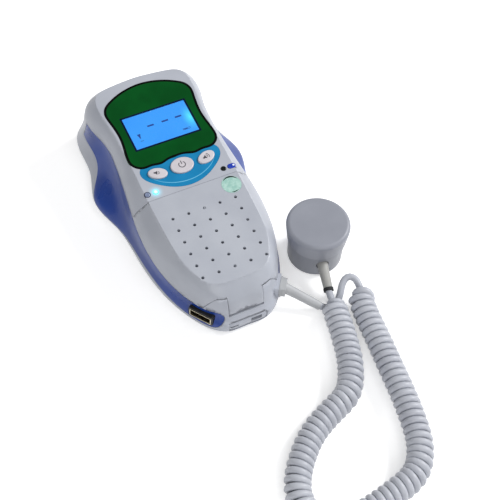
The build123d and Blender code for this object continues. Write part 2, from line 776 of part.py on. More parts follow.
def battery_cells():
    axis_z = wall + tray_floor + cell_diameter / 2
    cells = []
    for side in (-1, 1):
        # the left cell's button points up the unit, the right one's down it
        button_y = cells_y - side * (room / 2 - contact_thickness)
        shoulder_y = button_y + side * cell_button_height
        far_y = shoulder_y + side * cell_length
        case = rod((side * cell_spacing / 2, shoulder_y, axis_z), (side * cell_spacing / 2, far_y, axis_z), cell_diameter)
        button = rod((side * cell_spacing / 2, button_y, axis_z), (side * cell_spacing / 2, shoulder_y, axis_z),
                     cell_button_diameter)
        cells.append(case + button)
    return group(cells)


def battery_contacts():
    axis_z = wall + tray_floor + cell_diameter / 2
    plates = [Pos(x * cell_spacing / 2, cells_y + y * (room - contact_thickness) / 2, axis_z - 1.0)
              * Box(contact_size, contact_thickness, contact_size) for x in (-1, 1) for y in (-1, 1)]
    return group(plates)


def battery_springs():
    axis_z = wall + tray_floor + cell_diameter / 2
    springs = []
    for side in (-1, 1):
        line = Helix(pitch=(spring_length - spring_wire) / spring_turns, height=spring_length - spring_wire,
                     radius=(spring_diameter - spring_wire) / 2)
        coil = sweep(Plane(origin=line @ 0, z_dir=line % 0) * Circle(spring_wire / 2), path=line)
        start_y = cells_y + side * (room / 2 - contact_thickness - spring_wire / 2)
        springs.append(Pos(side * cell_spacing / 2, start_y, axis_z) * Rot(side * 90, 0, 0) * coil)
    return group(springs)


# ---------------------------------------------------------------- port
def port_parts():
    insulator = socket_block(-1, port_rim_width, port_rim_height, -port_depth - port_rim, port_rim_proud, port_round)
    insulator -= socket_block(-1, port_width, port_height, -port_depth, 2.0, port_round / 2)
    inner_width, inner_height = port_width - 2 * port_sheet, port_height - 2 * port_sheet
    sheet = socket_block(-1, port_width, port_height, -port_depth, port_proud, port_round / 2)
    sheet -= socket_block(-1, inner_width, inner_height, -port_depth - 1.0, port_proud + 1.0, port_round / 4)
    rise = (inner_height - port_tongue_thickness) / 4
    plane = socket_plane(-1, -port_depth)
    tongue_length = port_depth - port_tongue_set_back
    tongue = extrude(plane * Pos(0, rise) * Rectangle(port_tongue_width, port_tongue_thickness), tongue_length)
    pitch_x = port_tongue_width / contact_count
    low = rise - port_tongue_thickness / 2 - port_contact_thickness / 2
    strips = [extrude(plane * Pos((index - (contact_count - 1) / 2) * pitch_x, low)
                      * Rectangle(port_contact_width, port_contact_thickness), tongue_length - 0.5)
              for index in range(contact_count)]
    return insulator, sheet, tongue, group(strips)


# ---------------------------------------------------------------- probe plug
def plug_boot():
    start = socket_plane(1, plug_out - boot_root).origin
    return rod((start.X, start.Y, start.Z), boot_end, boot_base, boot_tip)


def probe_socket():
    block = socket_block(1, socket_width, socket_height, -plug_in - socket_wall, port_rim_proud, plug_round)
    return block - socket_block(1, plug_width + 2 * plug_gap, plug_height + 2 * plug_gap, -plug_in, 2.0, plug_round)


def probe_plug():
    head = socket_block(1, plug_width, plug_height, -plug_in + plug_gap, plug_out, plug_round)
    start = port_rim_proud + plug_gap + 0.1
    band = socket_block(1, plug_width + 2 * plug_collar, plug_height + 2 * plug_collar, start,
                        start + plug_collar_width, plug_round + plug_collar)
    return head + band - plug_boot()


# ---------------------------------------------------------------- probe
def probe_point(distance, z):
    turn = math.radians(probe_boot_turn)
    return (probe_x + distance * math.cos(turn), probe_y + distance * math.sin(turn), z)


def boot_point(distance):
    # a point of the probe boot's axis
    slope = (probe_boot_end_z - probe_boot_z) / (probe_boot_reach - probe_boot_start)
    return probe_point(distance, probe_boot_z + slope * (distance - probe_boot_start))


cap_low_z = probe_height - cap_height
lip_radius = cap_low_diameter / 2 - probe_wall - lip_gap


def probe_cap():
    radius, inner = cap_diameter / 2, lip_radius + lip_gap
    profile = Polyline([(0, probe_height), (radius, probe_height), (cap_low_diameter / 2, cap_low_z), (inner, cap_low_z),
                        (inner, probe_height - cap_face_thickness), (0, probe_height - cap_face_thickness)], close=True)
    cap = revolve(make_face(Plane.XZ * profile), Axis.Z)
    rim = cap.edges().filter_by(GeomType.CIRCLE).sort_by(Axis.Z)[-1]
    return Pos(probe_x, probe_y, 0) * fillet(rim, cap_round)


def probe_base():
    top = cap_low_z - cap_groove
    low = base_low_diameter / 2
    base = turned([(0, 0), (low, 0), (base_diameter / 2, top), (lip_radius, top), (lip_radius, cap_low_z + lip_height),
                   (lip_radius - lip_wall, cap_low_z + lip_height), (lip_radius - lip_wall, top - lip_root),
                   (base_diameter / 2 - probe_wall, top - lip_root), (low - probe_wall, probe_wall), (0, probe_wall)])
    foot = base.edges().filter_by(GeomType.CIRCLE).group_by(Axis.Z)[0]
    base = fillet(foot, base_edge_round)
    for turn in (90, 210, 330):
        place = Rot(0, 0, turn) * Pos(standoff_radius, 0, (probe_wall + probe_board_z) / 2 - 0.25)
        base += place * Cylinder(standoff_diameter / 2, probe_board_z - probe_wall + 0.5 - 1.0 + 0.5)
    base -= Pos(0, 0, cap_low_z + lip_height / 2) * Torus(lip_radius - seal_wire / 2, seal_wire / 2 + 0.05)
    base = Pos(probe_x, probe_y, 0) * base
    return base - rod(boot_point(9.0), boot_point(20.0), probe_boot_base + 2 * probe_boot_gap)


def probe_inside():
    place = Pos(probe_x, probe_y, 0)
    under_cap = probe_height - cap_face_thickness
    disc = Pos(0, 0, under_cap - crystal_thickness / 2) * Cylinder(crystal_diameter / 2, crystal_thickness)
    crystals = place * (disc - Box(crystal_split, crystal_diameter + 2.0, 4 * probe_height))
    backing_top = under_cap - crystal_thickness
    backing = place * Pos(0, 0, backing_top - backing_thickness / 2) * Cylinder(crystal_diameter / 2, backing_thickness)
    board = place * Pos(0, 0, probe_board_z + probe_board_thickness / 2) * Cylinder(
        probe_board_diameter / 2, probe_board_thickness)
    seal = place * Pos(0, 0, cap_low_z + lip_height / 2) * Torus(lip_radius - seal_wire / 2, seal_wire / 2)
    return group([crystals]), backing, board, seal


def probe_boot():
    boot = rod(boot_point(probe_boot_start), boot_point(probe_boot_reach), probe_boot_base, probe_boot_tip)
    return boot + rod(boot_point(probe_boot_start), boot_point(probe_boot_start + probe_flange_thickness), probe_flange)


def probe_boot_ring():
    return rod(boot_point(probe_boot_reach), boot_point(probe_boot_reach + ring_length), ring_diameter)


# ---------------------------------------------------------------- all nodes
display_panel, display_window, lcd_glass, lcd_backlight, lcd_holder, lcd_contact_strips = display_parts()
speaker_frame, speaker_cone, speaker_magnet, speaker_gasket, badge_disc = speaker_parts()
port_insulator, port_shell, port_tongue, port_contacts = port_parts()
probe_crystals, probe_backing, probe_board, probe_seal = probe_inside()
left_grip, right_grip = grips()
ring_end = boot_point(probe_boot_reach + ring_length)
nodes = {
    "front_housing": front_housing(), "rear_housing": rear_housing(), "speaker_cover": speaker_cover(),
    "left_grip": left_grip, "right_grip": right_grip,
    "display_panel": display_panel, "display_window": display_window, "lcd_glass": lcd_glass,
    "lcd_backlight": lcd_backlight, "lcd_holder": lcd_holder, "lcd_contact_strips": lcd_contact_strips,
    "key_panel": key_panel(), "left_key": key(-1), "middle_key": key(0), "right_key": key(1),
    "key_switches": key_switches(),
    "outer_left_lamp": lamp(-lamp_outer_x), "inner_left_lamp": lamp(-lamp_inner_x),
    "inner_right_lamp": lamp(lamp_inner_x), "outer_right_lamp": lamp(lamp_outer_x),
    "main_board": main_board(), "board_chips": board_chips(), "board_screws": board_screws(),
    "housing_screws": housing_screws(),
    "speaker_frame": speaker_frame, "speaker_cone": speaker_cone, "speaker_magnet": speaker_magnet,
    "speaker_gasket": speaker_gasket, "badge_disc": badge_disc,
    "battery_tray": battery_tray(), "battery_cells": battery_cells(), "battery_contacts": battery_contacts(),
    "battery_springs": battery_springs(),
    "port_insulator": port_insulator, "port_shell": port_shell, "port_tongue": port_tongue,
    "port_contacts": port_contacts, "probe_socket": probe_socket(), "probe_plug": probe_plug(),
    "plug_boot": plug_boot(),
    "probe_cap": probe_cap(), "probe_base": probe_base(), "probe_crystals": probe_crystals,
    "probe_backing": probe_backing, "probe_board": probe_board, "probe_seal": probe_seal,
    "probe_boot": probe_boot(), "probe_boot_ring": probe_boot_ring(),
    "cord_lead": tube(lead_route, wire_diameter, "lead"),
    "cord_coil": tube([(x, y, coil_z) for x, y in coil_route], coil_diameter, "coil"),
    "cord_tail": tube([ring_end] + tail_route, wire_diameter, "tail"),
}
os.makedirs("parts", exist_ok=True)
for name, solid in nodes.items():
    print(name, len(solid.solids()), "solids", round(solid.volume, 1), "mm3")
    export_step(solid, f"parts/{name}.step")
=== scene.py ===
import json
import math

import bmesh
import bpy
import numpy as np
from mathutils import Matrix, Vector

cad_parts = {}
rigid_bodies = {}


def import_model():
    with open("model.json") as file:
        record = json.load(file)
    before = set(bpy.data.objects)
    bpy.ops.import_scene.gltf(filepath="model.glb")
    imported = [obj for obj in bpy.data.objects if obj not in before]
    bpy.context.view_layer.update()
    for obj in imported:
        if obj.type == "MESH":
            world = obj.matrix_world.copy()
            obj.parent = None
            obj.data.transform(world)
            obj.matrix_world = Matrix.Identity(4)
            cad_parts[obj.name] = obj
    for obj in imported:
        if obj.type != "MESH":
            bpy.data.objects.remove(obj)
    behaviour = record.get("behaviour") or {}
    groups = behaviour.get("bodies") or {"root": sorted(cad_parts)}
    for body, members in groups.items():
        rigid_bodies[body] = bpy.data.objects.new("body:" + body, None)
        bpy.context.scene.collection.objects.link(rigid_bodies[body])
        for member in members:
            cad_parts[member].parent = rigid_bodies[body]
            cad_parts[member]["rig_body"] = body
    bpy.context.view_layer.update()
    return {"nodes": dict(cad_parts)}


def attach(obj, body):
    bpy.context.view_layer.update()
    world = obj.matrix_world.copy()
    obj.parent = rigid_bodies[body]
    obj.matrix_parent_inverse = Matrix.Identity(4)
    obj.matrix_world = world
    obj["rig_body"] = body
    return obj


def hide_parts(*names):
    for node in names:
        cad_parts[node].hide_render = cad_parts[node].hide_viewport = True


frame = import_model()
mm = 0.001


camera = {
    "aim": (21.9, -35.0, 0.0),  # mm, the point in the middle of the picture
    "distance": 644.0,  # mm
    "azimuth": -28.8,  # degrees, 0 looks along +Y
    "elevation": 55.2,
    "roll": 4.0,
    "lens": 86.18,  # mm
    "sensor": 36.0,  # mm
    "clip": (0.01, 50.0),  # m, nearest and farthest place that is drawn
}


def makeCamera(look):
    # The axes are the usual right and up of a level camera, turned by the roll.
    a, e, r = (math.radians(look[k]) for k in ("azimuth", "elevation", "roll"))
    back = Vector((math.sin(a) * math.cos(e), -math.cos(a) * math.cos(e), math.sin(e)))
    level = (-back).cross(Vector((0, 0, 1))).normalized()
    upward = level.cross(-back)
    right = math.cos(r) * level + math.sin(r) * upward
    up = math.cos(r) * upward - math.sin(r) * level
    data = bpy.data.cameras.new("camera")
    data.lens, data.sensor_width = look["lens"], look["sensor"]
    data.clip_start, data.clip_end = look["clip"]
    obj = bpy.data.objects.new("camera", data)
    bpy.context.scene.collection.objects.link(obj)
    obj.matrix_world = Matrix((right, up, back)).transposed().to_4x4()
    obj.location = (Vector(look["aim"]) + back * look["distance"]) * mm
    bpy.context.scene.camera = obj


makeCamera(camera)
print("camera ready")


# One wire all the way: a straight lead from the plug, the curly part, and a
# short tail into the probe. The route is the middle line of all three.
cord = {
    "wire": 3.7,  # mm, diameter of the wire
    "outside": 13.8,  # mm, diameter of the curly part
    "pitch": 3.85,  # mm from turn to turn, so that the turns nearly touch
    "pointsPerTurn": 16,
    "bevel": 4,  # bevel resolution, for 12 sides round the wire
    "straightStep": 1.6,  # mm between points where the wire isn't wound
    "tailPoints": 9,
    "headingReach": 1.0,  # mm ahead and behind, from which the route's direction is taken
    "swell": 4.5,  # mm over which the turns grow from the straight wire
    "early": 6.0,  # mm before the curly part where they start to grow
    "lead": [(38.6, -84.1, 4.0), (41.6, -86.6, 2.8), (46.6, -86.0, 2.4), (50.8, -83.2, 4.6),
             (53.8, -78.6, 8.0), (57.8, -76.6, 10.4), (61.2, -79.6, 10.4), (61.0, -84.8, 9.0),
             (60.1, -90.3, 8.6)],
    "curly": [(58.6, -90.1), (56.6, -103.0), (55.4, -116.5), (53.5, -130.5), (51.7, -146.5), (49.2, -162.0),
              (45.4, -176.5), (36.6, -187.8), (22.5, -191.5), (7.5, -194.5), (-9.5, -195.5), (-20.0, -186.5),
              (-20.3, -173.5), (-13.4, -161.5), (0.0, -148.5), (14.0, -141.8), (27.5, -137.0),
              (36.0, -122.5), (40.2, -107.5), (43.4, -91.0)],
    "curlyHeight": 7.0,
    "tail": [(43.3, -91.3, 7.8), (44.1, -87.2, 7.6), (45.2, -83.2, 6.6), (46.13, -79.03, 6.23)],
}


def nurbsCurve(name, points, radius=1.0):
    # An open NURBS spline of order 3 that starts and ends on its end points.
    # Each point's radius, in m, is multiplied by the curve's bevel depth.
    data = bpy.data.curves.new(name, "CURVE")
    data.dimensions = "3D"
    spline = data.splines.new("NURBS")
    spline.points.add(len(points) - 1)
    spline.points.foreach_set("co", np.column_stack([points, np.ones(len(points))]).ravel())
    spline.points.foreach_set("radius", np.full(len(points), radius))
    spline.order_u = 3
    spline.use_endpoint_u = True
    spline.resolution_u = 12
    return data


def readLine(data):
    # The spline's own points, read from the mesh that a bare curve gives.
    obj = bpy.data.objects.new("reading", data)
    mesh = bpy.data.meshes.new_from_object(obj)
    line = np.empty(len(mesh.vertices) * 3)
    mesh.vertices.foreach_get("co", line)
    bpy.data.objects.remove(obj)
    bpy.data.meshes.remove(mesh)
    return line.reshape(-1, 3)


def along(line):
    # the distance from the line's start to each of its points: the sum of the steps before it
    return np.concatenate([[0.0], np.cumsum(np.linalg.norm(np.diff(line, axis=0), axis=1))])


def curlyWire(look):
    # Round the route's line: each point moves out by the radius, in the direction
    # cos(turn) sideways and sin(turn) upwards, and turn grows by a full circle for
    # each pitch. The radius is 0 on the lead and the tail, and rises over the
    # swell by its share squared times (3 - 2 x share).
    curly = [(x, y, look["curlyHeight"]) for x, y in look["curly"]]
    route = nurbsCurve("cordRoute", np.array(look["lead"] + curly + look["tail"]) * mm)
    line = readLine(route)
    run = along(line)
    first = run[np.linalg.norm(line - np.array(curly[0]) * mm, axis=1).argmin()] - look["early"] * mm
    last = run[np.linalg.norm(line - np.array(curly[-1]) * mm, axis=1).argmin()] + look["early"] * mm
    step = look["pitch"] * mm / look["pointsPerTurn"]
    straight = look["straightStep"] * mm
    at = np.concatenate([np.arange(0, first - straight / 2, straight),
                         np.arange(first, last - step / 2, step),
                         np.linspace(last, run[-1], look["tailPoints"])])
    reach = look["headingReach"] * mm
    middle, ahead, behind = (np.stack([np.interp(at + shift, run, line[:, k]) for k in range(3)], axis=1)
                             for shift in (0.0, reach, -reach))
    heading = ahead - behind
    sideways = np.column_stack([heading[:, 1], -heading[:, 0], np.zeros(len(at))])
    sideways /= np.linalg.norm(sideways, axis=1)[:, None]
    share = np.clip(np.minimum(at - first, last - at) / (look["swell"] * mm), 0, 1)
    radius = (look["outside"] - look["wire"]) / 2 * mm * share * share * (3 - 2 * share)
    turn = 2 * math.pi * (at - first) / (look["pitch"] * mm) + math.pi / 2
    wire = middle + sideways * (radius * np.cos(turn))[:, None]
    wire[:, 2] += radius * np.sin(turn)
    bpy.data.curves.remove(route)
    return wire


# Each point of the spline carries the wire's radius in m, so the bevel depth is 1.
wireLine = curlyWire(cord)
cordCurve = nurbsCurve("curlyCord", wireLine, cord["wire"] / 2 * mm)
cordCurve.splines[0].resolution_u = 1
cordCurve.bevel_depth = 1.0
cordCurve.bevel_resolution = cord["bevel"]
cordCurve.use_fill_caps = True
cordPiece = bpy.data.objects.new("curlyCord", cordCurve)
bpy.context.scene.collection.objects.link(cordPiece)
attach(cordPiece, "unit")
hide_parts("cord_lead", "cord_coil", "cord_tail")
cordLength = float(along(readLine(nurbsCurve("measure", wireLine)))[-1])
print("cord ready, its wire is", round(cordLength, 3), "m long")


def linear(hexColour):
    # sRGB hex to the linear values that the shaders use: ((c + 0.055) / 1.055) to
    # the power 2.4, and c / 12.92 for the darkest
    parts = [int(hexColour[i:i + 2], 16) / 255 for i in (1, 3, 5)]
    return [c / 12.92 if c <= 0.04045 else ((c + 0.055) / 1.055) ** 2.4 for c in parts] + [1.0]


def addNode(tree, kind, inputs=None, **settings):
    # one node; an input is linked if it is given a socket, and set if it is given a value
    node = tree.nodes.new(kind)
    for key, value in settings.items():
        setattr(node, key, value)
    for key, value in (inputs or {}).items():
        if isinstance(value, bpy.types.NodeSocket):
            tree.links.new(value, node.inputs[key])
        else:
            node.inputs[key].default_value = value
    return node


def newMaterial(name, **sockets):
    # a material with one Principled shader; sockets are set by their names with the spaces left out
    material = bpy.data.materials.new(name)
    material.use_nodes = True
    tree = material.node_tree
    shader = tree.nodes["Principled BSDF"]
    for socket in shader.inputs:
        if socket.name.replace(" ", "") in sockets:
            socket.default_value = sockets[socket.name.replace(" ", "")]
    return material, tree, shader


def tone(tree, shader, colour, darker, place, size):
    # the colour drifts slowly between two tones, over patches of that size in mm: all
    # of the darker one where the noise is under 0.35, and of the other over 0.65
    patches = addNode(tree, "ShaderNodeTexNoise", {"Vector": place, "Scale": 1000 / size, "Detail": 4.0})
    share = addNode(tree, "ShaderNodeMapRange", {0: patches.outputs[0], 1: 0.35, 2: 0.65})
    mixed = addNode(tree, "ShaderNodeMix", {0: share.outputs[0], 6: linear(darker), 7: linear(colour)},
                    data_type="RGBA")
    tree.links.new(mixed.outputs[2], shader.inputs["Base Color"])


def grain(tree, shader, place, size, height, strength=0.5):
    # fine bumps of that size and height in mm; the strength is their share of the shading
    bumps = addNode(tree, "ShaderNodeTexNoise", {"Vector": place, "Scale": 1000 / size, "Detail": 2.0})
    bump = addNode(tree, "ShaderNodeBump",
                   {"Height": bumps.outputs[0], "Strength": strength, "Distance": height * mm})
    tree.links.new(bump.outputs[0], shader.inputs["Normal"])


def rubbed(tree, shader, place, size, low, high):
    # the gloss varies where hands have rubbed it: the roughness goes from low to high
    # as the noise, over patches of that size in mm, goes from 0.3 to 0.7
    patches = addNode(tree, "ShaderNodeTexNoise", {"Vector": place, "Scale": 1000 / size, "Detail": 5.0})
    rough = addNode(tree, "ShaderNodeMapRange", {0: patches.outputs[0], 1: 0.3, 2: 0.7, 3: low, 4: high})
    tree.links.new(rough.outputs[0], shader.inputs["Roughness"])


def plastic(name, look):
    # moulded plastic or rubber: slow drift of tone, fine grain, gloss that varies a little
    material, tree, shader = newMaterial(name, SpecularIORLevel=look.get("shine", 0.4),
                                         SheenWeight=look.get("sheen", 0.0))
    place = addNode(tree, "ShaderNodeTexCoord").outputs["Object"]
    low, high = look["rough"] - 0.05, look["rough"] + 0.05
    tone(tree, shader, look["colour"], look["darker"], place, size=look["patch"])
    grain(tree, shader, place, size=look["grain"], height=look["height"])
    rubbed(tree, shader, place, size=look["patch"] * 0.6, low=low, high=high)
    return material


def metal(name, look):
    # plated metal: the grain is stretched to fine drawn lines along one direction, far
    # coarser than the real ones, so that they show
    material, tree, shader = newMaterial(name, Metallic=1.0)
    place = addNode(tree, "ShaderNodeTexCoord").outputs["Object"]
    stretched = addNode(tree, "ShaderNodeMapping", {"Vector": place, "Scale": (1.0, 0.12, 1.0)})
    low, high = look["rough"] - 0.06, look["rough"] + 0.06
    tone(tree, shader, look["colour"], look["darker"], place, size=3.0)
    grain(tree, shader, stretched.outputs[0], size=0.12, height=0.004, strength=0.4)
    rubbed(tree, shader, place, size=2.0, low=low, high=high)
    return material


# patch, grain and height in mm: the size of the patches of tone, and of the fine bumps.
# Most real grains are finer than these; they are drawn as coarse as they need to show.
finishes = {
    # injection moulded ABS with a fine spark finish: soft broad highlights and a dry, even grey
    "mouldedAbsGrey": dict(
        colour="#B4B8C2", darker="#ACB0BA", patch=26.0, grain=0.55, height=0.02, rough=0.36),
    # the same ABS in the speaker cover, moulded apart: a trace darker and less blue
    "mouldedAbsGreyCover": dict(
        colour="#B4B8C1", darker="#ABAFB9", patch=22.0, grain=0.55, height=0.02, rough=0.36),
    # smoothly moulded ABS, blue: an even deep colour with a soft, quiet highlight
    "glossAbsBlue": dict(
        colour="#1B4299", darker="#173988", patch=30.0, grain=0.9, height=0.003, rough=0.31, shine=0.4),
    # screen printed film, green: smooth with a very faint orange peel
    "printedFilmGreen": dict(
        colour="#05501D", darker="#044619", patch=14.0, grain=1.4, height=0.004, rough=0.2, shine=0.12),
    # screen printed film, light blue: nearly as smooth as the green one
    "printedFilmBlue": dict(
        colour="#1F84B8", darker="#1A7AAC", patch=10.0, grain=1.4, height=0.004, rough=0.24, shine=0.15),
    # printed inks: flat and even, the black and the navy almost without shine
    "printedInkBlack": dict(
        colour="#030705", darker="#020403", patch=5.0, grain=0.8, height=0.004, rough=0.25, shine=0.15),
    "printedInkNavy": dict(
        colour="#081238", darker="#060E2C", patch=5.0, grain=0.8, height=0.004, rough=0.25, shine=0.15),
    "printedInkPaleBlue": dict(
        colour="#6DBBDD", darker="#5DB0D6", patch=4.0, grain=0.8, height=0.004, rough=0.35),
    "printedInkGrey": dict(
        colour="#4B474F", darker="#3F3C45", patch=2.0, grain=0.5, height=0.004, rough=0.45),
    # soft touch keys: paler than the shell, silky
    "mouldedKeyGrey": dict(
        colour="#D2CDD3", darker="#C9C4CA", patch=6.0, grain=0.35, height=0.010, rough=0.34),
    # printed foil with a pale green metallic cast
    "printedFoilGreen": dict(
        colour="#B4D6CD", darker="#98C2B8", patch=1.6, grain=0.6, height=0.008, rough=0.22),
    # satin moulded ABS of the probe, darker than the unit: the light rolls softly round its rim
    "mouldedAbsProbe": dict(
        colour="#898C95", darker="#82858E", patch=15.0, grain=0.5, height=0.012, rough=0.34),
    # the probe's cap: the same ABS, a little paler and duller
    "mouldedProbeFace": dict(
        colour="#92959F", darker="#8D909A", patch=15.0, grain=0.4, height=0.010, rough=0.42),
    # moulded rubber boot and plug: a warmer grey, matt
    "mouldedRubberGrey": dict(
        colour="#A3A3A0", darker="#999996", patch=7.0, grain=0.4, height=0.014, rough=0.52, sheen=0.1),
    # the plug and its boot: the same rubber, as light as the cord
    "mouldedPlugGrey": dict(
        colour="#B6B8BB", darker="#ACAEB1", patch=7.0, grain=0.4, height=0.014, rough=0.48, sheen=0.1),
    # extruded PVC jacket: smooth, a little shiny
    "extrudedPvcGrey": dict(
        colour="#BCBFC7", darker="#B2B5BE", patch=18.0, grain=0.7, height=0.010, rough=0.40, sheen=0.1),
    # black pieces of the sockets and the insides: matt plastic, rubber and foam
    "mouldedPlasticBlack": dict(
        colour="#17181B", darker="#101113", patch=6.0, grain=0.4, height=0.012, rough=0.45),
    "mouldedRubberBlack": dict(
        colour="#232427", darker="#1A1B1E", patch=4.0, grain=0.4, height=0.02, rough=0.7),
    "openCellFoamGrey": dict(
        colour="#3A3B3E", darker="#26272A", patch=1.5, grain=0.6, height=0.25, rough=0.95),
    # circuit board and chips: glossy mask, dull epoxy
    "solderMaskGreen": dict(
        colour="#1D6A34", darker="#175A2C", patch=5.0, grain=1.2, height=0.02, rough=0.35),
    "epoxyChipBlack": dict(
        colour="#1E1E20", darker="#161618", patch=3.0, grain=0.25, height=0.015, rough=0.6),
    # speaker cone: rough fibres that take the light away
    "pressedPaperBlack": dict(
        colour="#2B2A29", darker="#1F1E1D", patch=1.2, grain=0.35, height=0.06, rough=0.9),
    # film round the cells: slightly wavy and glossy
    "shrinkFilmGrey": dict(
        colour="#2E3036", darker="#25272C", patch=9.0, grain=2.5, height=0.03, rough=0.25),
    # backlight and display glass, behind the lit picture
    "milkyAcrylic": dict(
        colour="#F0F2EE", darker="#E4E7E2", patch=8.0, grain=0.6, height=0.01, rough=0.5),
    "liquidCrystalGlass": dict(
        colour="#2A7FD0", darker="#2273C2", patch=12.0, grain=3.0, height=0.004, rough=0.12),
    # insides of the probe and the speaker: chalky ceramic, dull epoxy, gritty ferrite
    "firedCeramic": dict(
        colour="#DCD7C8", darker="#CFC9B8", patch=3.0, grain=0.3, height=0.02, rough=0.6),
    "castEpoxyBrown": dict(
        colour="#4A443C", darker="#3E3932", patch=2.0, grain=0.5, height=0.03, rough=0.6),
    "sinteredFerrite": dict(
        colour="#3B3B3D", darker="#2F2F31", patch=1.5, grain=0.3, height=0.03, rough=0.65),
    # lamp moulded in smoky clear epoxy, unlit
    "castEpoxySmoky": dict(
        colour="#8792AB", darker="#7682A0", patch=1.2, grain=0.5, height=0.004, rough=0.15),
    # the other lamps: black and blue epoxy with a glassy surface, and a painted highlight in white on the
    # blue one
    "castEpoxyBlack": dict(
        colour="#0C1512", darker="#070C0A", patch=1.2, grain=0.5, height=0.004, rough=0.12),
    "castEpoxyBlue": dict(
        colour="#2745B8", darker="#1D379E", patch=1.2, grain=0.5, height=0.004, rough=0.12),
    "paintedHighlightWhite": dict(
        colour="#E9F0FF", darker="#D8E4FA", patch=1.0, grain=0.5, height=0.004, rough=0.2),
}
materials = {name: plastic(name, look) for name, look in finishes.items()}
# plated sheet, wire and screws: clear bright reflections, blurred a little across the fine lines
metals = {
    "platedSteel": dict(colour="#B9BBBE", darker="#A3A6AA", rough=0.32),
    "platedNickel": dict(colour="#D6CFB8", darker="#BDB49A", rough=0.22),
    "platedGold": dict(colour="#E2BE6C", darker="#C9A353", rough=0.20),
}
materials.update({name: metal(name, look) for name, look in metals.items()})


def clearPlastic():
    # cast acrylic: almost all light goes through, a faint ripple in the reflection
    material, tree, shader = newMaterial("castAcrylicClear", IOR=1.49, TransmissionWeight=1.0)
    place = addNode(tree, "ShaderNodeTexCoord").outputs["Object"]
    tone(tree, shader, "#FBFEFF", "#F4FAFC", place, size=9.0)
    grain(tree, shader, place, size=6.0, height=0.004, strength=0.2)
    rubbed(tree, shader, place, size=8.0, low=0.0, high=0.05)
    return material


materials["castAcrylicClear"] = clearPlastic()

face = {"height": 37.1, "pitch": 4.2}  # mm and degrees: the front face above the origin
slope = math.radians(face["pitch"])


def onFace(x, v, w):
    # x to the right, v up the face and w out of it, all mm, to a place in metres
    x, v, w = np.broadcast_arrays(*(np.asarray(k, float) for k in (x, v, w)))
    return np.stack([x, v * math.cos(slope) - w * math.sin(slope),
                     face["height"] + v * math.sin(slope) + w * math.cos(slope)], axis=-1) * mm


def nearness(tree, place, point, reach, squeeze=(1.0, 1.0, 1.0)):
    # 1 at a point and 0 beyond that reach in mm: 1 - distance / reach, with the
    # distance multiplied by the squeeze along each axis
    moved = addNode(tree, "ShaderNodeVectorMath", {0: place, 1: point}, operation="SUBTRACT")
    squeezed = addNode(tree, "ShaderNodeVectorMath", {0: moved.outputs[0], 1: squeeze}, operation="MULTIPLY")
    far = addNode(tree, "ShaderNodeVectorMath", {0: squeezed.outputs[0]}, operation="LENGTH")
    return addNode(tree, "ShaderNodeMapRange",
                   {0: far.outputs["Value"], 1: 0.0, 2: reach * mm, 3: 1.0, 4: 0.0})


lamps = {
    "v": -4.8,  # mm up the face
    "innerX": 19.25,
    "outerX": 23.9,
    "glowReach": 5.2,  # mm from the lit lamp's middle
    "glowFall": 2.6,  # power of the nearness: the higher, the tighter the glow
    "glowStrength": 1.5,
    "core": 1.5,  # mm, reach of the white middle of the lit lamp
    "glow": "#2FD3F2",
    "rise": 0.4,  # mm, how far the lamps stand out of the face
}


def shellWithPaintedGlow():
    # the grey shell with a painted glow round the lit lamp, as if its light soaked into the plastic: emission
    # by the nearness to the power of the fall, times the strength
    material = materials["mouldedAbsGrey"].copy()
    material.name = "mouldedAbsGreyPaintedGlow"
    tree = material.node_tree
    shader = tree.nodes["Principled BSDF"]
    place = addNode(tree, "ShaderNodeTexCoord").outputs["Object"]
    near = nearness(tree, place, onFace(-lamps["innerX"], lamps["v"], 0.0), lamps["glowReach"])
    fall = addNode(tree, "ShaderNodeMath", {0: near.outputs[0], 1: lamps["glowFall"]}, operation="POWER")
    light = addNode(tree, "ShaderNodeMath", {0: fall.outputs[0], 1: lamps["glowStrength"]},
                    operation="MULTIPLY")
    shader.inputs["Emission Color"].default_value = linear(lamps["glow"])
    tree.links.new(light.outputs[0], shader.inputs["Emission Strength"])
    return material


materials["mouldedAbsGreyPaintedGlow"] = shellWithPaintedGlow()


def litLamp():
    # cyan epoxy lamp, white hot in the middle
    material, tree, shader = newMaterial("litEpoxyCyan", Roughness=0.15, EmissionStrength=1.6)
    place = addNode(tree, "ShaderNodeTexCoord").outputs["Object"]
    near = nearness(tree, place, onFace(-lamps["innerX"], lamps["v"], lamps["rise"]), lamps["core"])
    colour = addNode(tree, "ShaderNodeMix", {0: near.outputs[0], 6: linear("#35D6F2"), 7: linear("#EFFFFF")},
                     data_type="RGBA")
    tree.links.new(colour.outputs[2], shader.inputs["Emission Color"])
    tone(tree, shader, "#58CFE0", "#48C4D8", place, size=1.0)
    return material


materials["litEpoxyCyan"] = litLamp()
print(len(materials), "materials ready")

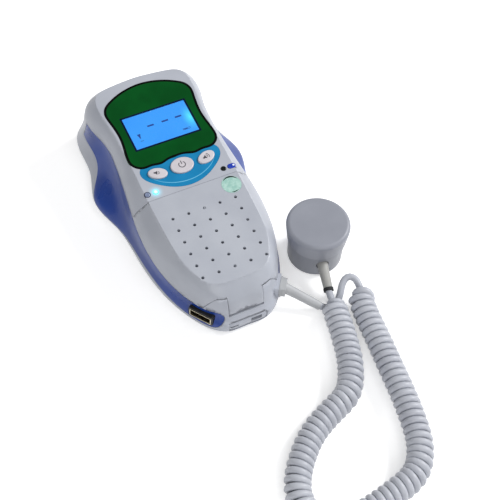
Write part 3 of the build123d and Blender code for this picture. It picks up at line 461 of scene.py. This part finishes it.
# Which finish each node takes: first the ones that are seen, then the ones inside.
dress = {
    # the front housing takes the grey with the painted glow round the lit lamp
    "front_housing": "mouldedAbsGreyPaintedGlow", "rear_housing": "mouldedAbsGrey",
    "speaker_cover": "mouldedAbsGreyCover", "left_grip": "glossAbsBlue", "right_grip": "glossAbsBlue",
    "display_panel": "printedFilmGreen", "display_window": "castAcrylicClear",
    "key_panel": "printedFilmBlue", "left_key": "mouldedKeyGrey", "middle_key": "mouldedKeyGrey",
    "right_key": "mouldedKeyGrey", "outer_left_lamp": "castEpoxySmoky",
    "inner_left_lamp": "litEpoxyCyan", "inner_right_lamp": "castEpoxyBlack",
    "outer_right_lamp": "castEpoxyBlue", "badge_disc": "printedFoilGreen",
    "port_insulator": "mouldedPlasticBlack", "port_shell": "platedNickel",
    "port_tongue": "mouldedPlasticBlack", "probe_socket": "mouldedAbsGrey",
    "probe_plug": "mouldedPlugGrey", "plug_boot": "mouldedPlugGrey", "probe_cap": "mouldedProbeFace",
    "probe_base": "mouldedAbsProbe", "probe_boot": "mouldedRubberGrey",
    "probe_boot_ring": "mouldedRubberBlack", "housing_screws": "platedSteel",
}
inside = {
    "lcd_glass": "liquidCrystalGlass", "lcd_backlight": "milkyAcrylic",
    "lcd_holder": "mouldedPlasticBlack", "lcd_contact_strips": "mouldedRubberBlack",
    "key_switches": "platedSteel", "main_board": "solderMaskGreen", "board_chips": "epoxyChipBlack",
    "board_screws": "platedSteel", "speaker_frame": "platedSteel", "speaker_cone": "pressedPaperBlack",
    "speaker_magnet": "sinteredFerrite", "speaker_gasket": "openCellFoamGrey",
    "battery_tray": "mouldedPlasticBlack", "battery_cells": "shrinkFilmGrey",
    "battery_contacts": "platedNickel", "battery_springs": "platedSteel", "port_contacts": "platedGold",
    "probe_crystals": "firedCeramic", "probe_backing": "castEpoxyBrown",
    "probe_board": "solderMaskGreen", "probe_seal": "mouldedRubberBlack",
    "cord_lead": "extrudedPvcGrey", "cord_coil": "extrudedPvcGrey", "cord_tail": "extrudedPvcGrey",
}


def setMaterial(obj, name):
    # one finish for the whole object
    obj.data.materials.clear()
    obj.data.materials.append(materials[name])


skin = {
    "weld": 2e-6,  # m, points closer than this are one point
    "flat": 0.3,  # degrees between faces that become one flat face
    "sharp": 28.0,  # degrees between faces from which an edge stays sharp
    "softSharp": 62.0,  # the same for the shoulder round the front face, which turns by about 50
    "soft": ("front_housing", "speaker_cover"),
    "own": ("probe_plug", "plug_boot"),  # the pieces at the cord's end, shown as they are
}


def smoothCopy(node, name):
    # The node's own faces, joined at their edges and shaded smooth up to the sharp
    # angle: each point's normal is the mean of its faces' normals, weighted by area.
    source = frame["nodes"][node]
    mesh = source.data.copy()
    shape = bmesh.new()
    shape.from_mesh(mesh)
    bmesh.ops.remove_doubles(shape, verts=shape.verts, dist=skin["weld"])
    bmesh.ops.dissolve_limit(shape, angle_limit=math.radians(skin["flat"]), verts=shape.verts,
                             edges=shape.edges)
    shape.to_mesh(mesh)
    shape.free()
    mesh.shade_smooth()
    sharp = skin["softSharp"] if node in skin["soft"] else skin["sharp"]
    mesh.set_sharp_from_angle(angle=math.radians(sharp))
    piece = bpy.data.objects.new(node + "Skin", mesh)
    bpy.context.scene.collection.objects.link(piece)
    setMaterial(piece, name)
    even = piece.modifiers.new("evenShading", "WEIGHTED_NORMAL")
    even.keep_sharp = True
    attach(piece, source["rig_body"])
    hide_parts(node)


for node, name in dress.items():
    if node in skin["own"]:
        setMaterial(frame["nodes"][node], name)
    else:
        smoothCopy(node, name)
for node, name in inside.items():
    setMaterial(frame["nodes"][node], name)
setMaterial(cordPiece, "extrudedPvcGrey")
print("shell and inner parts dressed")


def ringCurve(points, count):
    # A smooth closed line through points: cubic pieces whose slopes come from one
    # linear system, 2(a+b) m + neighbours, with the lengths between the points.
    points = np.array(points, float)
    ahead = np.roll(points, -1, axis=0)
    gap = np.linalg.norm(ahead - points, axis=1)
    n = len(points)
    rise = (ahead - points) / gap[:, None]
    system = np.zeros((n, n))
    k = np.arange(n)
    before = np.roll(gap, 1)
    system[k, (k - 1) % n] = gap
    system[k, k] = 2 * (gap + before)
    system[k, (k + 1) % n] = before
    target = 3 * (gap[:, None] * np.roll(rise, 1, axis=0) + before[:, None] * rise)
    slopes = np.linalg.solve(system, target)
    knots = np.concatenate([[0], np.cumsum(gap)])
    at = np.linspace(0, knots[-1], count, endpoint=False)
    i = np.clip(np.searchsorted(knots, at, side="right") - 1, 0, n - 1)
    h = gap[i][:, None]
    t = ((at - knots[i]) / gap[i])[:, None]
    return ((2 * t**3 - 3 * t**2 + 1) * points[i] + (t**3 - 2 * t**2 + t) * h * slopes[i]
            + (3 * t**2 - 2 * t**3) * ahead[i] + (t**3 - t**2) * h * slopes[(i + 1) % n])


def inwards(line, closed=True):
    # unit vectors square to a line, to its left: the step from the point before to
    # the point after, turned by a quarter and divided by its length
    ahead, behind = np.roll(line, -1, axis=0), np.roll(line, 1, axis=0)
    if not closed:
        ahead[-1], behind[0] = line[-1], line[0]
    run = ahead - behind
    return np.column_stack([-run[:, 1], run[:, 0]]) / np.linalg.norm(run, axis=1)[:, None]


def band(line, width, low, high, closed=False):
    # A flat raised strip: at each point of the line in (x, v) four corners, half
    # the width to each side, at heights low and high, joined to the next four.
    line = np.array(line, float)
    side = inwards(line, closed) * (np.broadcast_to(width, len(line)) / 2)[:, None]
    left, right = line + side, line - side
    corners = np.stack([onFace(*left.T, low), onFace(*left.T, high),
                        onFace(*right.T, high), onFace(*right.T, low)], axis=1)
    n = len(line)
    i = np.arange(n if closed else n - 1)[:, None]
    k = np.arange(4)[None, :]
    nextI, nextK = (i + 1) % n, (k + 1) % 4
    faces = np.stack([i * 4 + k, nextI * 4 + k, nextI * 4 + nextK, i * 4 + nextK], axis=-1).reshape(-1, 4)
    if not closed:
        ends = np.array([[0, 1, 2, 3], [4 * n - 1, 4 * n - 2, 4 * n - 3, 4 * n - 4]])
        faces = np.concatenate([faces, ends])
    points = corners.reshape(-1, 3)
    a, b, c = (points[faces[:, m]] - points.mean(0) for m in (0, 1, 2))
    if (a * np.cross(b, c)).sum() < 0:
        faces = faces[:, ::-1]
    return points, faces


def arc(x, v, radius, start, end, count=24):
    # points of a circle in (x, v), from one angle in degrees to another: the radius
    # times cos(turn) along x and sin(turn) along v
    turn = np.radians(np.linspace(start, end, count))
    return np.column_stack([x + radius * np.cos(turn), v + radius * np.sin(turn)])


def disc(x, v, radius, low, high, count=25, tip=0.02):
    # A round patch: strips across it as wide as the circle is there, 2 times the root
    # of radius squared minus across squared. The tip, in radians, is cut off.
    across = -radius * np.cos(np.linspace(tip, math.pi - tip, count))
    middle = np.column_stack([x + across, np.full(count, v)])
    return band(middle, 2 * np.sqrt(radius**2 - across**2), low, high)


def boxBand(x, v, wide, high, thick, low, top):
    # a rectangle's outline as four strips: two across, and two between them
    across = [band([(x - wide, v + s * high), (x + wide, v + s * high)], thick, low, top) for s in (-1, 1)]
    reach = high - thick / 2
    upright = [band([(x + s * wide, v - reach), (x + s * wide, v + reach)], thick, low, top) for s in (-1, 1)]
    return across + upright


def faceOn(name, parts, finish, body="unit"):
    # several parts (points, faces) as one piece: each part's faces are numbered on from
    # the points of the parts before it
    start = np.cumsum([0] + [len(p) for p, f in parts])
    points = np.concatenate([p for p, f in parts])
    faces = np.concatenate([f + s for (p, f), s in zip(parts, start)])
    mesh = bpy.data.meshes.new(name)
    mesh.from_pydata(points.tolist(), [], faces.tolist())
    mesh.update()
    piece = bpy.data.objects.new(name, mesh)
    bpy.context.scene.collection.objects.link(piece)
    mesh.materials.append(materials[finish] if isinstance(finish, str) else finish)
    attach(piece, body)


inkDepth = 0.03  # mm, how far a print, and the painted highlight on the blue lamp, reaches into the piece under it; on keys and lamps also out of it
display = {
    "v": 34.0, "width": 35.9, "height": 21.3,  # mm, the lit picture
    "edge": 1.25,  # black edge of the green panel
    "inset": 0.02,  # from the panel's own edge to the black one
    "points": 260,  # round the panel
    "windowEdge": 1.0,  # dark line round the picture
    "ink": 0.035,  # the ink stands this high
    "filmDepth": 0.34,  # the picture's film inside the window
    "film": 0.05,  # the film's own thickness
    "gap": 0.06,  # free edge at each side of the film
    "segment": 0.03,  # the segments stand this high on the film
    # half outline of the green panel, from its lower to its upper middle
    "outline": [(0, 11.9), (4.6, 11.6), (9.6, 10.3), (14.4, 10.9), (19.0, 10.8), (22.6, 12.4),
                (25.0, 16.0), (25.2, 21.0), (23.8, 32.0), (24.0, 39.0), (25.0, 46.0), (25.3, 51.0),
                (23.6, 55.2), (19.4, 58.6), (12.2, 62.0), (5.0, 63.8), (0, 64.2)],
}
whole = display["outline"] + [(-x, v) for x, v in display["outline"][-2:0:-1]]
outline = ringCurve(whole, display["points"])
edge = outline + inwards(outline) * (display["edge"] / 2 + display["inset"])
halfWide, halfHigh = display["width"] / 2, display["height"] / 2

faceOn("displayEdge", [band(edge, display["edge"], -inkDepth, display["ink"], True)],
       "printedInkBlack")
grow = display["windowEdge"] / 2
windowParts = boxBand(0, display["v"], halfWide + grow, halfHigh + grow,
                      display["windowEdge"], -inkDepth, display["ink"])
windowCorners = [(s * (halfWide + grow), display["v"] + t * (halfHigh + grow))
                 for s in (-1, 1) for t in (-1, 1)]
windowParts += [band([(x - grow, v), (x + grow, v)], display["windowEdge"], -inkDepth, display["ink"])
                for x, v in windowCorners]
faceOn("windowEdge", windowParts, "printedInkNavy")

glow = {
    "inside": 1.2, "under": 1.0,  # mm from the picture's right edge and middle height
    "reach": 7.5,
    "squeeze": (1.5, 0.8, 1.0),  # narrower across than upwards
    "fall": 1.7,  # power of the nearness
    "drift": 45.0,  # noise scale of the blue's slow change
}


def litPicture():
    # Blue light through the liquid crystal, brightest by the lamp at its right edge: the
    # nearness to the power of the fall is the share of the bright tone in the blue.
    material, tree, shader = newMaterial("litLiquidCrystal", Roughness=0.3, EmissionStrength=1.0,
                                         SpecularIORLevel=0.2)
    place = addNode(tree, "ShaderNodeTexCoord").outputs["Object"]
    spot = onFace(halfWide - glow["inside"], display["v"] - glow["under"], -display["filmDepth"])
    near = nearness(tree, place, spot, glow["reach"], glow["squeeze"])
    hot = addNode(tree, "ShaderNodeMath", {0: near.outputs[0], 1: glow["fall"]}, operation="POWER")
    drift = addNode(tree, "ShaderNodeTexNoise", {"Vector": place, "Scale": glow["drift"], "Detail": 1.0})
    blue = addNode(tree, "ShaderNodeMix", {0: drift.outputs[0], 6: linear("#2C96FF"), 7: linear("#3CA6FF")},
                   data_type="RGBA")
    lit = addNode(tree, "ShaderNodeMix", {0: hot.outputs[0], 6: blue.outputs[2], 7: linear("#5CF4FF")},
                  data_type="RGBA")
    tree.links.new(lit.outputs[2], shader.inputs["Emission Color"])
    shader.inputs["Base Color"].default_value = linear("#0A1C30")
    return material


depth = -display["filmDepth"]
filmHalf = halfWide - display["gap"]
faceOn("lcdPicture", [band([(-filmHalf, display["v"]), (filmHalf, display["v"])],
                           display["height"] - 2 * display["gap"], depth - display["film"], depth)],
       litPicture())


def shownSegment():
    # a dark segment: the crystal that holds the blue light back
    material, tree, shader = newMaterial("darkLiquidCrystal", Roughness=0.4, EmissionStrength=0.9,
                                         SpecularIORLevel=0.2)
    place = addNode(tree, "ShaderNodeTexCoord").outputs["Object"]
    tone(tree, shader, "#04102C", "#030C22", place, size=0.8)
    shader.inputs["Emission Color"].default_value = linear("#164399")
    return material


segments = {  # mm, from the face's middle line and up the face
    "dash": 3.7, "thick": 1.05, "dashX": (-5.1, 3.2, 10.9), "dashV": 35.7,
    # a small heart at the lower left: a wedge that widens upwards, and two round lobes
    "wedge": [(-13.3, 29.4), (-13.3, 32.2)], "wedgeWidths": (0.2, 1.6),
    "lobes": [(-13.72, 32.2), (-12.88, 32.2)], "lobeRadius": 0.48,
    "bar": [(-13.9, 27.9), (-12.2, 27.9)], "barThick": 0.3,  # under the heart
    # a battery at the lower right: its outline, as middle, half width, half height and
    # thickness, and the charge in it
    "battery": (12.0, 26.6, 2.0, 0.42, 0.22), "charge": [(10.3, 26.6), (12.6, 26.6)], "chargeThick": 0.4,
}
low, high = depth, depth + display["segment"]
dashEnds = (-segments["dash"] / 2, segments["dash"] / 2)
readout = [band([(x + end, segments["dashV"]) for end in dashEnds], segments["thick"], low, high)
           for x in segments["dashX"]]
readout += [band(segments["wedge"], np.array(segments["wedgeWidths"]), low, high)]
readout += [disc(x, v, segments["lobeRadius"], low, high) for x, v in segments["lobes"]]
readout += [band(segments["bar"], segments["barThick"], low, high)]
readout += boxBand(*segments["battery"], low, high)
readout += [band(segments["charge"], segments["chargeThick"], low, high)]
faceOn("lcdSegments", readout, shownSegment())
print("display ready")

marks = {  # mm and degrees, the marks on the three keys
    "line": 0.46, "keyTop": 1.0, "keysV": 5.25, "sideX": 13.85, "tilt": 20.0,
    # the power mark: a ring that is open at the top, as radius, two angles and points,
    # and an upright stroke from and to these heights over the ring's middle
    "powerRise": 0.1, "powerRing": (1.75, 125, 415, 40), "powerStroke": (0.3, 2.5),
    # a loudspeaker in its own measures: a box that opens to a cone, and waves at its
    # mouth, each as radius, two angles and points
    "speaker": [(-2.1, 0), (-1.3, 0), (-1.29, 0), (-0.2, 0)], "speakerWidths": (0.9, 0.9, 0.9, 2.5),
    "waveX": -0.6, "waveThick": 0.36, "near": (1.3, -42, 42, 9), "far": (2.2, -42, 42, 12),
}
low, high = marks["keyTop"] - inkDepth, marks["keyTop"] + inkDepth
powerV = marks["keysV"] + marks["powerRise"]
power = [band(arc(0.0, powerV, *marks["powerRing"]), marks["line"], low, high),
         band([(0, powerV + v) for v in marks["powerStroke"]], marks["line"], low, high)]
faceOn("powerMark", power, "printedInkGrey", "middle_key_body")


def speakerMark(side, name, body):
    # a loudspeaker with one wave at the left key, quieter, and two at the right one, louder
    turn = math.radians(marks["tilt"]) * side
    x, v = side * marks["sideX"], marks["keysV"]

    def placed(line):
        # turned by the key's tilt and moved to the key's middle
        line = np.array(line, float)
        return np.column_stack([x + line[:, 0] * math.cos(turn) - line[:, 1] * math.sin(turn),
                                v + line[:, 0] * math.sin(turn) + line[:, 1] * math.cos(turn)])

    parts = [band(placed(marks["speaker"]), np.array(marks["speakerWidths"]), low, high)]
    waves = ("near", "far") if side > 0 else ("near",)
    parts += [band(placed(arc(marks["waveX"], 0, *marks[wave])), marks["waveThick"], low, high)
              for wave in waves]
    faceOn(name, parts, "printedInkGrey", body)


speakerMark(-1, "quieterMark", "left_key_body")
speakerMark(1, "louderMark", "right_key_body")


def tapered(thick, tip, count):
    # widths of a stroke that thins out to both ends: the thickness times sin(turn),
    # with the turn from the tip's angle to half a circle less that angle
    return thick * np.sin(np.linspace(tip, math.pi - tip, count))


smile = {
    "points": [(-18.4, 4.4), (-15.8, 1.2), (-11.5, -1.7), (-6.0, -3.8), (0.0, -4.5), (6.0, -3.8),
               (11.5, -1.7), (15.8, 1.2), (18.4, 4.4)],
    "thick": 0.5,  # mm
    "tip": 0.12,  # radians
}
smooth = readLine(nurbsCurve("smile", np.array([(x, v, 0) for x, v in smile["points"]])))[::3, :2]
smileWidths = smile["thick"] * tapered(1.0, smile["tip"], len(smooth)) ** 0.5
faceOn("smileLine", [band(smooth, smileWidths, -inkDepth, display["ink"])],
       "printedInkPaleBlue")

lampMarks = {  # mm and degrees
    # round the unlit lamp: radius, two angles and points, then the ring's width and height
    "ring": (1.62, 0, 352.5, 48), "ringThick": 0.3, "ringHigh": 0.05,
    "spotX": 1.15, "spotRadius": 0.62,  # a painted highlight on the blue lamp, right of its middle
}
ring = arc(-lamps["outerX"], lamps["v"], *lampMarks["ring"])
faceOn("unlitLampRing", [band(ring, lampMarks["ringThick"], -inkDepth, lampMarks["ringHigh"], True)],
       "printedInkNavy")
# a painted highlight: a white spot standing on the blue lamp
faceOn("pillPaintedHighlight", [disc(lamps["outerX"] + lampMarks["spotX"], lamps["v"], lampMarks["spotRadius"],
                         lamps["rise"] - inkDepth, lamps["rise"] + inkDepth)],
       "paintedHighlightWhite")
badge = {
    "x": 19.0, "v": -15.4, "radius": 4.75,  # mm
    "crescents": (((25, 135), 0.8), ((245, 300), 0.5)),  # painted shadow: from and to in degrees, thickness in mm
    "points": 30,
    "tip": 0.06,  # radians
}
# The two dark crescents on the badge are painted shadow, in black ink.
crescents = [band(arc(badge["x"], badge["v"], badge["radius"], *span, badge["points"]),
                  tapered(thick, badge["tip"], badge["points"]), -inkDepth, display["ink"])
             for span, thick in badge["crescents"]]
faceOn("badgePaintedShadow", crescents, "printedInkBlack", "cover")
print("face prints ready")

board = {
    "half": 4.0,  # m, half of the floor's side
    "middle": (0.02, -0.06, 0.0),  # m, where the added light is least
    "reach": 700.0,  # mm
    "far": 0.1, "near": 0.7,  # nearness at which the added light is most and least
    "most": 1.0, "least": 0.42,
    "plain": (0.72, 0.72, 0.73, 1),  # linear colour that lights the object from below
    "shown": (0.97, 0.97, 0.97, 1),  # linear colour for the camera
}


def paleFloor():
    # White floor: for the camera a little light is added, more of it further out, so
    # that it shows white round the shadow.
    material = bpy.data.materials.new("paintedBoardWhite")
    material.use_nodes = True
    tree = material.node_tree
    tree.nodes.clear()
    out = addNode(tree, "ShaderNodeOutputMaterial")
    plain = addNode(tree, "ShaderNodeBsdfDiffuse", {"Color": board["plain"]})
    shown = addNode(tree, "ShaderNodeBsdfDiffuse", {"Color": board["shown"]})
    place = addNode(tree, "ShaderNodeTexCoord").outputs["Object"]
    near = nearness(tree, place, board["middle"], board["reach"])
    amount = addNode(tree, "ShaderNodeMapRange", {0: near.outputs[0], 1: board["far"], 2: board["near"],
                                                  3: board["most"], 4: board["least"]})
    lift = addNode(tree, "ShaderNodeEmission", {"Color": (1, 1, 1, 1), "Strength": amount.outputs[0]})
    bright = addNode(tree, "ShaderNodeAddShader", {0: shown.outputs[0], 1: lift.outputs[0]})
    ray = addNode(tree, "ShaderNodeLightPath")
    seen = addNode(tree, "ShaderNodeMath", {0: ray.outputs["Is Camera Ray"], 1: ray.outputs["Is Glossy Ray"]},
                   operation="MAXIMUM")
    seenToo = addNode(tree, "ShaderNodeMath", {0: seen.outputs[0], 1: ray.outputs["Is Transmission Ray"]},
                      operation="MAXIMUM")
    mixed = addNode(tree, "ShaderNodeMixShader",
                    {0: seenToo.outputs[0], 1: plain.outputs[0], 2: bright.outputs[0]})
    tree.links.new(mixed.outputs[0], out.inputs["Surface"])
    return material


floorMesh = bpy.data.meshes.new("floor")
floorCorners = [(x * board["half"], y * board["half"], 0) for x, y in ((-1, -1), (1, -1), (1, 1), (-1, 1))]
floorMesh.from_pydata(floorCorners, [], [(0, 1, 2, 3)])
floorMesh.materials.append(paleFloor())
floor = bpy.data.objects.new("floor", floorMesh)
bpy.context.scene.collection.objects.link(floor)

lights = {  # place and aim in m, size in m, power in W
    "key": dict(place=(1.1, -0.05, 0.85), aim=(0.02, -0.05, 0), size=0.42, power=15.0),
    "fill": dict(place=(-0.35, -0.95, 0.6), aim=(0.0, -0.03, 0.02), size=0.6, power=4.5),
    "rim": dict(place=(-0.7, 0.5, 0.75), aim=(-0.03, 0.0, 0.02), size=0.2, power=1.6),
    "over": dict(place=(0.3, -0.35, 1.1), aim=(0.0, -0.05, 0.02), size=0.4, power=1.4),
}
for name, light in lights.items():
    data = bpy.data.lights.new(name, "AREA")
    data.shape, data.size, data.energy = "SQUARE", light["size"], light["power"]
    obj = bpy.data.objects.new(name, data)
    bpy.context.scene.collection.objects.link(obj)
    obj.location = light["place"]
    towards = Vector(light["aim"]) - Vector(light["place"])
    obj.rotation_euler = towards.to_track_quat("-Z", "Y").to_euler()

room = {"light": 0.27, "shown": 1.0}  # strength for all other rays, and for what the camera sees
world = bpy.data.worlds.new("paleRoom")
bpy.context.scene.world = world
world.use_nodes = True
tree = world.node_tree
ray = addNode(tree, "ShaderNodeLightPath")
seen = addNode(tree, "ShaderNodeMath",
               {0: ray.outputs["Is Camera Ray"], 1: ray.outputs["Is Transmission Ray"]}, operation="MAXIMUM")
level = addNode(tree, "ShaderNodeMapRange", {0: seen.outputs[0], 3: room["light"], 4: room["shown"]})
tree.links.new(level.outputs[0], tree.nodes["Background"].inputs["Strength"])
tree.nodes["Background"].inputs["Color"].default_value = (1, 1, 1, 1)
bpy.context.scene.view_settings.view_transform = "Standard"
print("stage ready")

bpy.context.view_layer.update()
